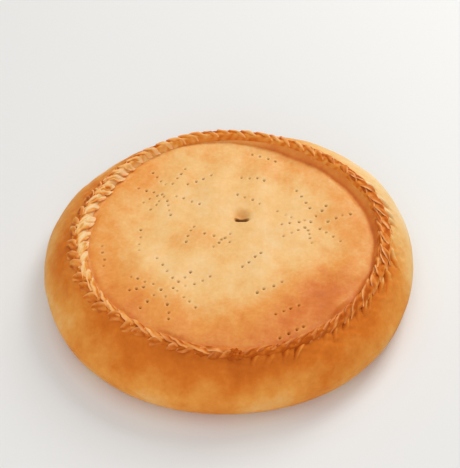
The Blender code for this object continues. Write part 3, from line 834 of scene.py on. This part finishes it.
# %% Fork marks
LID_MIDDLE = (0.0040, 0.0055)
FORK_TINES = 4
PRICK_SPACING = 0.0028
FORK_STABS = (
    ((-57, 58), (-48, 45)), ((-35, 60), (-43, 45)), ((-16, 53), (-32, 45)), ((-67, 41), (-50, 36)),
    ((-63, 28), (-50, 38)), ((-57, 22), (-49, 33)), ((-44, 15), (-46, 29)), ((-41, 33), (-24, 26)),
    ((-64, 2), (-64, -18)), ((-28, 4), (-33, -11)), ((-20, -3), (-4, -11)), ((-3, -3), (-14, -15)),
    ((-51, -25), (-41, -42)), ((-29, -37), (-40, -51)), ((-16, -41), (-32, -49)), ((-68, -42), (-53, -48)),
    ((-68, -53), (-55, -49)), ((-60, -67), (-48, -53)), ((-37, -54), (-25, -66)), ((-44, -59), (-42, -77)),
    ((-88, -14), (-86, -32)), ((5, -33), (17, -22)), ((14, -56), (30, -47)), ((25, -74), (40, -67)),
    ((27, -93), (42, -84)), ((14, 76), (30, 69)), ((6, 52), (22, 48)), ((2, 34), (18, 26)),
    ((45, 38), (52, 19)), ((30, 18), (44, 7)), ((64, 21), (52, 8)), ((79, 14), (64, 8)),
    ((32, 4), (48, 9)), ((33, -7), (48, 2)), ((58, 1), (71, -11)), ((50, -1), (51, -12)),
)
PRICK_DRIFT = 0.00035


def prick_places():
    """Each stab's tines lie evenly between its first and last, less those in an older hole."""
    places = []
    for first, last in FORK_STABS:
        for tine in range(FORK_TINES):
            share = tine / (FORK_TINES - 1)
            place = [LID_MIDDLE[i] + MM * (first[i] + (last[i] - first[i]) * share) for i in (0, 1)]
            if all(math.dist(place, other) > PRICK_SPACING for other in places):
                places.append(place)
    return np.array(places)


pricks = prick_places()
prick_chance = np.random.default_rng(8)
pricks += prick_chance.normal(0.0, PRICK_DRIFT, pricks.shape)
prick_force = prick_chance.uniform(0.35, 1.25, len(pricks))
print(len(pricks), "pricks")

# %% [markdown]
# ## The lid's grid
#
# A disc of rings and spokes would crowd its points in the middle, so the lid is a square
# grid that is rounded into a disc: each of its two parameters runs from -1 to 1, and each
# is shortened by the square of the other, so that the square's edge becomes a circle. It
# runs out over the crease and up the slope to under the braid. The pricks are far smaller
# than the grid's cells, so the grid is pulled together round the vent and each prick
# before they are pressed in.

# %% Lid grid
LID_CELLS = 311
LID_TUCK = 0.0005
VENT_PLACE = (5.2, 12.5)
VENT_GATHER = (0.0100, 0.55)
PRICK_GATHER = (0.0014, 0.40)


def gather(x, y, places, reach, keep):
    """Pulls points towards the nearest place: within reach, the distance shrinks to keep at its middle."""
    away = np.full(x.shape, 1.0)
    nearest = np.zeros(x.shape, int)
    for number, place in enumerate(places):
        distance = np.hypot(x - place[0], y - place[1])
        nearest = np.where(distance < away, number, nearest)
        away = np.minimum(distance, away)
    to_x, to_y = np.asarray(places)[nearest].transpose(2, 0, 1)
    scale = np.where(away < reach, keep + (1 - keep) * (away / reach) ** 2, 1.0)
    return to_x + (x - to_x) * scale, to_y + (y - to_y) * scale, away * scale, nearest


u, v = np.meshgrid(np.linspace(-1, 1, LID_CELLS + 1), np.linspace(-1, 1, LID_CELLS + 1), indexing="xy")
disc_x = u * np.sqrt(1.0 - v * v / 2)
disc_y = v * np.sqrt(1.0 - u * u / 2)
lid_edge = braid_radius(np.arctan2(disc_y, disc_x)) - LID_TUCK
vent = np.array(LID_MIDDLE) + MM * np.array(VENT_PLACE)
lid_x, lid_y, from_vent, _ = gather(disc_x * lid_edge, disc_y * lid_edge, [vent], *VENT_GATHER)
lid_x, lid_y, from_prick, nearest_prick = gather(lid_x, lid_y, pricks, *PRICK_GATHER)
print("lid grid", lid_x.shape, "with", int((from_prick < PRICK_GATHER[0]).sum()), "points near a prick")

# %% [markdown]
# ## The lid's swell and its crease
#
# The lid has risen and sunk a little in the oven: broad waves and smaller lumps move it
# by a millimetre or so. It could be sculpted, but a sum of waves can be tuned one number
# at a time. Inside the braid the lid climbs to the seam. From the right round to the back
# a clear crease runs along the foot of that slope and swings out a little before it
# fades; elsewhere the dough goes over softly.

# %% Lid surface
CREASE_AZIMUTHS = (0, 30, 60, 76, 90, 115, 140, 180, 220, 290, 320, 340)
CREASE_STRENGTH = (1.0, 1.0, 1.0, 0.8, 0.2, 0.15, 0.1, 0.1, 0.1, 0.1, 0.3, 0.8)
CREASE_SHIFT = (0.0, 0.0, 0.0, 0.8, 1.5, 1.2, 0.0, 0.0, 0.0, 0.0, 0.0, 0.0)
CREASE_DEPTH = 0.0010
CREASE_WIDTH = 0.0020
CREASE_INSET = 0.001
CREASE_WANDER = 0.0007
CREASE_WANDER_SIZE = 0.024
FLAT_EDGE = 0.004
LID_SWELL = 0.0010
LID_SWELL_WAVES = ((0.5, 62.0, 24.0, 0.6), (0.3, -38.0, 71.0, 2.1), (0.2, 88.0, -52.0, 4.0))
LID_LUMPS = ((0.00085, 0.024, 41),)
LID_FINE_LUMPS = ((0.00010, 0.0055, 42),)


def lid_swell(x, y):
    """Broad soft lumps in the lid: slow sine waves, each with its share, its two rates and its start."""
    swell = sum(share * np.sin(a * x + b * y + start) for share, a, b, start in LID_SWELL_WAVES)
    return LID_SWELL * swell


lid_r = np.maximum(np.hypot(lid_x, lid_y), 1e-6)
lid_azimuth = np.arctan2(lid_y, lid_x)
lid_flat = np.stack([lid_x, lid_y, np.zeros_like(lid_x)], axis=-1)
crease = crease_radius(lid_azimuth) + MM * around(lid_azimuth, CREASE_AZIMUTHS, CREASE_SHIFT)
crease = crease + CREASE_WANDER * lumps(lid_flat / lid_r[..., None] * CREASE_RADIUS, CREASE_WANDER_SIZE, 45)
crease_strength = around(lid_azimuth, CREASE_AZIMUTHS, CREASE_STRENGTH)
bed_in = crease + (braid_radius(lid_azimuth) - crease) * (1.0 - BED_INNER_SHARE)
up_slope = ease((lid_r - crease) / (bed_in - crease))
flat_lid = 1.0 - ease((lid_r - crease + FLAT_EDGE) / FLAT_EDGE)
lid_z = LID_HEIGHT + (BRAID_BED_HEIGHT - LID_HEIGHT) * up_slope
lid_z = lid_z + (lid_swell(lid_x, lid_y) + layered(lid_flat, LID_LUMPS)) * flat_lid
crease_groove = np.exp(-(((lid_r - crease + CREASE_INSET) / CREASE_WIDTH) ** 2))
lid_z = lid_z - CREASE_DEPTH * crease_strength * crease_groove
lid_z = lid_z + layered(lid_flat, LID_FINE_LUMPS)
print("lid from", round(lid_z.min() / MM, 1), "to", round(lid_z.max() / MM, 1), "mm")

# %% [markdown]
# ## The pricks and the vent
#
# A Boolean could cut the holes, but dough gives way softly, so they are pressed in. A
# prick is a narrow bell-shaped pit inside a wide shallow one, because the tine drags the
# dough down as it goes in. A strong prick is deeper and wider, and the dough it pushed
# aside is a low rim, painted pale as a highlight. The vent lies in a wide basin where the
# steam has let the lid sink. It is a bowl with a long back slope and a slot at its near
# side. The slot's length is squared in its formula, which makes its near rim straight, and
# that rim is slightly raised and slanted. The bowl and the back slope lie a little behind
# the vent's middle, and the slot, its painted shade and the rim lie in front of it. The
# insides of the pricks, the slot and the back slope are painted dark as shade.

# %% Pricks and vent
PRICK_DEPTH = 0.0026
PRICK_WIDTH = 0.00040
PRICK_WIDENING = 0.00014
DRAG_DEPTH = 0.00030
DRAG_RADIUS = 0.0017
PRICK_RIM_HEIGHT = 0.00016
PRICK_RIM_RADIUS = 0.0014
PRICK_RIM_WIDTH = 0.0006
VENT_SLANT = 0.15
BASIN_DEPTH = 0.0010
BASIN_RADIUS = 0.016
BOWL_DEPTH = 0.0036
BOWL_RADIUS = 0.0085
BOWL_BACK = 0.0014
SLOT_DEPTH = 0.0042
SLOT_FRONT = 0.0022
SLOT_SIZE = (0.0054, 0.0032, 2.2)
VENT_RIM_HEIGHT = 0.0004
VENT_RIM_FRONT = 0.0064
VENT_RIM_SIZE = (0.0050, 0.0014)
SHADE_FRONT = 0.0012
SHADE_SIZE = (0.0052, 0.0030, 2.0)
BACK_SLOPE_BACK = 0.0028
BACK_SLOPE_RADIUS = 0.0070
PRICK_SHADE = 0.95
BACK_SLOPE_SHADE = 0.12


def slot(x, y, half_length, half_width, sharpness):
    """1 in a slot and 0 outside it: one less the length of (x share squared, y share), with eased walls."""
    return ease((1.0 - np.hypot((x / half_length) ** 2, y / half_width)) * sharpness)


force = prick_force[nearest_prick]
prick_pit = np.exp(-((from_prick / (PRICK_WIDTH + PRICK_WIDENING * force)) ** 2)) * force
prick_rim = np.exp(-(((from_prick - PRICK_RIM_RADIUS) / PRICK_RIM_WIDTH) ** 2)) * force
lid_z = lid_z - PRICK_DEPTH * prick_pit + PRICK_RIM_HEIGHT * prick_rim
lid_z = lid_z - DRAG_DEPTH * np.exp(-((from_prick / DRAG_RADIUS) ** 2))
vent_x = lid_x - vent[0]
vent_y = lid_y - vent[1] + VENT_SLANT * vent_x
basin = np.exp(-((from_vent / BASIN_RADIUS) ** 2))
bowl = ease(1.0 - np.hypot(vent_x, vent_y - BOWL_BACK) / BOWL_RADIUS)
vent_slot = slot(vent_x, vent_y + SLOT_FRONT, *SLOT_SIZE)
rim_share = (vent_x / VENT_RIM_SIZE[0]) ** 2 + ((vent_y + VENT_RIM_FRONT) / VENT_RIM_SIZE[1]) ** 2
vent_rim = np.exp(-rim_share)
lid_z = lid_z - BASIN_DEPTH * basin - BOWL_DEPTH * bowl - SLOT_DEPTH * vent_slot + VENT_RIM_HEIGHT * vent_rim
# The insides of the pricks, the vent's slot and its back slope are painted dark as shade.
vent_shade = slot(vent_x, vent_y + SHADE_FRONT, *SHADE_SIZE)
vent_slope = ease(1.2 - np.hypot(vent_x / BACK_SLOPE_RADIUS, (vent_y - BACK_SLOPE_BACK) / BACK_SLOPE_RADIUS))
hole_shade = np.clip(PRICK_SHADE * prick_pit + vent_shade + BACK_SLOPE_SHADE * vent_slope, 0.0, 1.0)
lid_points = np.stack([lid_x, lid_y, lid_z], axis=-1)
print("vent bottom at", round(lid_z.min() / MM, 1), "mm")

# %% [markdown]
# ## How brown the lid is
#
# The lid is pale in its middle and browner towards the braid, most of all at the front.
# Two brown patches lie where the oven caught it. Painting this by hand would not change
# with the shape, so it is a sum of eased steps and bell curves of the same places that
# shaped the lid: the climb inside the braid, the crease, the vent's back slope and the
# pale rims of the pricks. The crease, the climb on the right and back, and the vent's back
# slope are painted darker as shade, and the rims of the pricks paler as highlights.

# %% Lid toast
LID_TOAST = 0.27
BROWNING_START = 0.48
BROWNING_RISE = 0.42
SLOPE_START = 0.97
SLOPE_RISE = 0.04
SLOPE_TOAST = 0.05
CREASE_SLOPE_SHADE = 0.12
RIM_AZIMUTHS = (0, 30, 60, 90, 130, 180, 230, 270, 300, 330)
RIM_TOAST = (0.23, 0.15, 0.14, 0.08, 0.13, 0.24, 0.27, 0.34, 0.36, 0.29)
BROWN_PATCHES = ((0.22, 0.052, -0.050, 0.024, 0.020), (0.08, -0.020, -0.004, 0.030, 0.010))
LID_BLOTCHES = ((0.05, 0.030, 43), (0.03, 0.010, 44))
CREASE_SHADE = 0.20
CREASE_SHADE_WIDTH = 0.0011
PRICK_RIM_HIGHLIGHT = -0.10
VENT_SLOPE_SHADE = 0.16


def brown_patch(x, y, strength, middle_x, middle_y, half_length, half_width):
    """A brown patch: a bell curve of the distance from its middle, with its own two sizes."""
    return strength * np.exp(-(((x - middle_x) / half_length) ** 2 + ((y - middle_y) / half_width) ** 2))


lid_share = lid_r / crease
browning = ease((lid_share - BROWNING_START) / BROWNING_RISE)
lid_toast = LID_TOAST + around(lid_azimuth, RIM_AZIMUTHS, RIM_TOAST) * browning
lid_toast = lid_toast + sum(brown_patch(lid_x, lid_y, *sizes) for sizes in BROWN_PATCHES)
up_the_slope = ease((lid_share - SLOPE_START) / SLOPE_RISE)
# Where the crease is strong, on the right and back, the slope is painted darker as shade, and the crease line
# is painted dark as shade.
lid_toast = lid_toast + (SLOPE_TOAST + CREASE_SLOPE_SHADE * crease_strength) * up_the_slope
crease_shade_line = crease_strength * np.exp(-(((lid_r - crease) / CREASE_SHADE_WIDTH) ** 2))
lid_toast = lid_toast + CREASE_SHADE * crease_shade_line
lid_toast = lid_toast + layered(lid_flat, LID_BLOTCHES)
# The rims of the pricks are painted paler as highlights, and the vent's back slope darker as shade.
lid_toast = lid_toast + PRICK_RIM_HIGHLIGHT * prick_rim + VENT_SLOPE_SHADE * vent_slope
lid = grid_piece("lid", lid_points, {"toast": lid_toast, "hole_shade": hole_shade})

# %% [markdown]
# ## The crust's finish
#
# Baked dough is browner where it stood up in the oven's heat and paler where it lay
# sheltered. One colour with noise over it would miss that, so one node group turns a
# number from 0, barely baked, to 1, well browned, into a colour, after fine mottling has
# been added to it. That number also carries painted shade and painted highlights from the
# marks. Pale lips, with their painted highlights, are mixed over it. The same noise gives
# the mottled gloss of the glaze and the fine skin that the bump uses.

# %% Baked crust group
TOAST_COLOURS = (
    (0.00, (0.90, 0.66, 0.36)),
    (0.30, (0.86, 0.50, 0.175)),
    (0.50, (0.80, 0.32, 0.058)),
    (0.70, (0.69, 0.185, 0.020)),
    (1.00, (0.47, 0.092, 0.007)),
)
# The lip colour is pale dough with a painted highlight.
LIP_AND_HIGHLIGHT_COLOUR = (1.00, 0.48, 0.185, 1.0)
# Painted shade inside the pricks and the vent.
HOLE_SHADE_COLOUR = (0.20, 0.085, 0.018, 1.0)
CRUST_NOISES = ((110.0, 4.0), (420.0, 3.0), (1500.0, 2.0))
BLOTCH_SHARE = 0.45
SPECK_SHARE = 0.55
GLOSS_SPREAD = 0.25
FINE_GRAIN = 0.35


def add_math(tree, operation, *values):
    """One Math node: each value is a number or the socket that feeds it."""
    node = tree.nodes.new("ShaderNodeMath")
    node.operation = operation
    for socket, value in zip(node.inputs, values):
        if isinstance(value, (int, float)):
            socket.default_value = value
        else:
            tree.links.new(value, socket)
    return node.outputs[0]


def add_tint(tree, base, tint, share):
    """One Mix node from the base colour's socket to a fixed tint, by the share's socket."""
    node = tree.nodes.new("ShaderNodeMix")
    node.data_type = "RGBA"
    node.inputs["B"].default_value = tint
    tree.links.new(share, node.inputs["Factor"])
    tree.links.new(base, node.inputs["A"])
    return node.outputs["Result"]


def add_ramp(tree, share, colours):
    """One Color Ramp node with a stop for each position and colour."""
    node = tree.nodes.new("ShaderNodeValToRGB")
    stops = node.color_ramp.elements
    for _ in range(len(colours) - len(stops)):
        stops.new(0.5)
    for stop, (position, colour) in zip(stops, colours):
        stop.position = position
        stop.color = (*colour, 1.0)
    tree.links.new(share, node.inputs["Fac"])
    return node.outputs["Color"]


def make_crust_group():
    """Toast plus two noises goes through a colour ramp, and the lip, with its painted highlight, tints it.

    Roughness is the base roughness plus the middle noise, and height is the middle and the
    finest noise.
    """
    group = bpy.data.node_groups.new("baked_crust", "ShaderNodeTree")
    inputs = (("Toast", 0.5), ("Lip And Highlight", 0.0), ("Mottle", 0.2), ("Grain Size", 1.0), ("Base Roughness", 0.4))
    for name, default in inputs:
        socket = group.interface.new_socket(name, in_out="INPUT", socket_type="NodeSocketFloat")
        socket.default_value = default
    for name, kind in (("Color", "Color"), ("Roughness", "Float"), ("Height", "Float")):
        group.interface.new_socket(name, in_out="OUTPUT", socket_type="NodeSocket" + kind)
    nodes, links = group.nodes, group.links
    enter = nodes.new("NodeGroupInput")
    leave = nodes.new("NodeGroupOutput")
    place = nodes.new("ShaderNodeTexCoord")
    noises = []
    for size, detail in CRUST_NOISES:
        noise = nodes.new("ShaderNodeTexNoise")
        noise.inputs["Detail"].default_value = detail
        noise.inputs["Roughness"].default_value = 0.6
        links.new(place.outputs["Object"], noise.inputs["Vector"])
        links.new(add_math(group, "MULTIPLY", enter.outputs["Grain Size"], size), noise.inputs["Scale"])
        noises.append(noise.outputs["Fac"])
    blotch = add_math(group, "MULTIPLY", noises[0], BLOTCH_SHARE)
    speck = add_math(group, "MULTIPLY_ADD", noises[1], SPECK_SHARE, blotch)
    centred = add_math(group, "SUBTRACT", speck, 0.5)
    spread = add_math(group, "MULTIPLY", centred, enter.outputs["Mottle"])
    baked = add_math(group, "MULTIPLY_ADD", spread, 2.0, enter.outputs["Toast"])
    colour = add_tint(group, add_ramp(group, baked, TOAST_COLOURS), LIP_AND_HIGHLIGHT_COLOUR, enter.outputs["Lip And Highlight"])
    rough = add_math(group, "MULTIPLY_ADD", noises[1], GLOSS_SPREAD, enter.outputs["Base Roughness"])
    height = add_math(group, "MULTIPLY_ADD", noises[2], FINE_GRAIN, noises[1])
    for output, name in ((colour, "Color"), (rough, "Roughness"), (height, "Height")):
        links.new(output, leave.inputs[name])
    return group


crust_group = make_crust_group()
print("group", crust_group.name, "with", len(crust_group.nodes), "nodes")

# %% [markdown]
# ## Three finishes
#
# The lid, the side and the braid share the group, and differ in how mottled, rough and
# glossy they are: the lid has the most glaze, and the braid's folds have hardly any. Each
# finish reads the marks on its mesh: the toast, the pale lips of the folds with their
# painted highlights, and the painted shade inside the holes. A little light goes in under
# the skin of baked dough and comes out redder, and subsurface scattering does that here.

# %% Crust materials
def mark_of(tree, name):
    """The socket with a mark's number at each point."""
    node = tree.nodes.new("ShaderNodeAttribute")
    node.attribute_name = name
    return node.outputs["Fac"]


def make_crust(name, mottle, grain_size, roughness, bump, specular, has_lip_highlights=False, has_hole_shade=False):
    """A Principled material fed by the crust group, from the marks of toast, lips with painted highlights, and
    painted shade in holes.
    """
    material = bpy.data.materials.new(name)
    material.use_nodes = True
    tree = material.node_tree
    shader = tree.nodes["Principled BSDF"]
    shader.inputs["Subsurface Weight"].default_value = 0.10
    shader.inputs["Subsurface Radius"].default_value = (1.0, 0.45, 0.2)
    shader.inputs["Subsurface Scale"].default_value = 0.0012
    shader.inputs["Specular IOR Level"].default_value = specular
    group = tree.nodes.new("ShaderNodeGroup")
    group.node_tree = crust_group
    group.inputs["Mottle"].default_value = mottle
    group.inputs["Grain Size"].default_value = grain_size
    group.inputs["Base Roughness"].default_value = roughness
    tree.links.new(mark_of(tree, "toast"), group.inputs["Toast"])
    if has_lip_highlights:
        tree.links.new(mark_of(tree, "lip_and_highlight"), group.inputs["Lip And Highlight"])
    colour = group.outputs["Color"]
    # The holes are painted dark as shade.
    if has_hole_shade:
        colour = add_tint(tree, colour, HOLE_SHADE_COLOUR, mark_of(tree, "hole_shade"))
    relief = tree.nodes.new("ShaderNodeBump")
    relief.inputs["Distance"].default_value = bump
    relief.inputs["Strength"].default_value = 1.0
    tree.links.new(group.outputs["Height"], relief.inputs["Height"])
    tree.links.new(relief.outputs["Normal"], shader.inputs["Normal"])
    tree.links.new(group.outputs["Roughness"], shader.inputs["Roughness"])
    tree.links.new(colour, shader.inputs["Base Color"])
    return material


lid_crust = make_crust(
    "lid_crust", mottle=0.21, grain_size=1.0, roughness=0.40, bump=0.00026, specular=0.30, has_hole_shade=True
)
side_crust = make_crust(
    "side_crust", mottle=0.17, grain_size=0.8, roughness=0.50, bump=0.00014, specular=0.05
)
braid_crust = make_crust(
    "braid_crust", mottle=0.22, grain_size=1.3, roughness=0.45, bump=0.00014, specular=0.04, has_lip_highlights=True
)
dress(lid, lid_crust)
dress(case_piece, side_crust)
for piece in (bed, outer_folds, inner_folds, knot):
    dress(piece, braid_crust)
print("materials", [material.name for material in (lid_crust, side_crust, braid_crust)])

# %% [markdown]
# ## Floor and light
#
# The floor is plain and pale. One large soft light stands behind the pie to the right,
# where the window was, two weaker ones above and in front soften its shadow, and a pale
# sky fills the rest. Area lights are used because a sun or a spot would draw hard edges.

# %% Floor and lights
FLOOR_HALF = 4.0
LID_LEVEL = (0, 0, 0.03)


def make_floor():
    """A plain pale square on the ground."""
    corners = [(x * FLOOR_HALF, y * FLOOR_HALF, 0) for x, y in ((-1, -1), (1, -1), (1, 1), (-1, 1))]
    mesh = bpy.data.meshes.new("floor")
    mesh.from_pydata(corners, [], [(0, 1, 2, 3)])
    piece = bpy.data.objects.new("floor", mesh)
    bpy.context.scene.collection.objects.link(piece)
    material = bpy.data.materials.new("pale_floor")
    material.use_nodes = True
    shader = material.node_tree.nodes["Principled BSDF"]
    shader.inputs["Base Color"].default_value = (0.80, 0.80, 0.79, 1.0)
    shader.inputs["Roughness"].default_value = 0.6
    mesh.materials.append(material)
    return piece


def add_light(name, place, target, size, power, colour):
    """A square area light at a place, aimed at a target."""
    data = bpy.data.lights.new(name, "AREA")
    data.size = size
    data.energy = power
    data.color = colour
    light = bpy.data.objects.new(name, data)
    bpy.context.scene.collection.objects.link(light)
    aim = (Vector(target) - Vector(place)).to_track_quat("-Z", "Y").to_matrix().to_4x4()
    light.matrix_world = Matrix.Translation(place) @ aim
    return light


make_floor()
add_light("window", (0.75, 1.15, 1.15), LID_LEVEL, 0.8, 16.0, (1.0, 0.985, 0.96))
add_light("overhead", (-0.1, 0.1, 1.5), LID_LEVEL, 1.2, 4.0, (1.0, 1.0, 1.0))
add_light("front", (-0.3, -1.5, 0.8), LID_LEVEL, 1.2, 9.0, (1.0, 1.0, 1.0))
world = bpy.data.worlds.new("sky")
world.use_nodes = True
world.node_tree.nodes["Background"].inputs["Color"].default_value = (1.0, 0.99, 0.98, 1.0)
world.node_tree.nodes["Background"].inputs["Strength"].default_value = 0.45
bpy.context.scene.world = world
bpy.context.scene.view_settings.view_transform = "Standard"
print("lights", [light.name for light in bpy.data.lights])
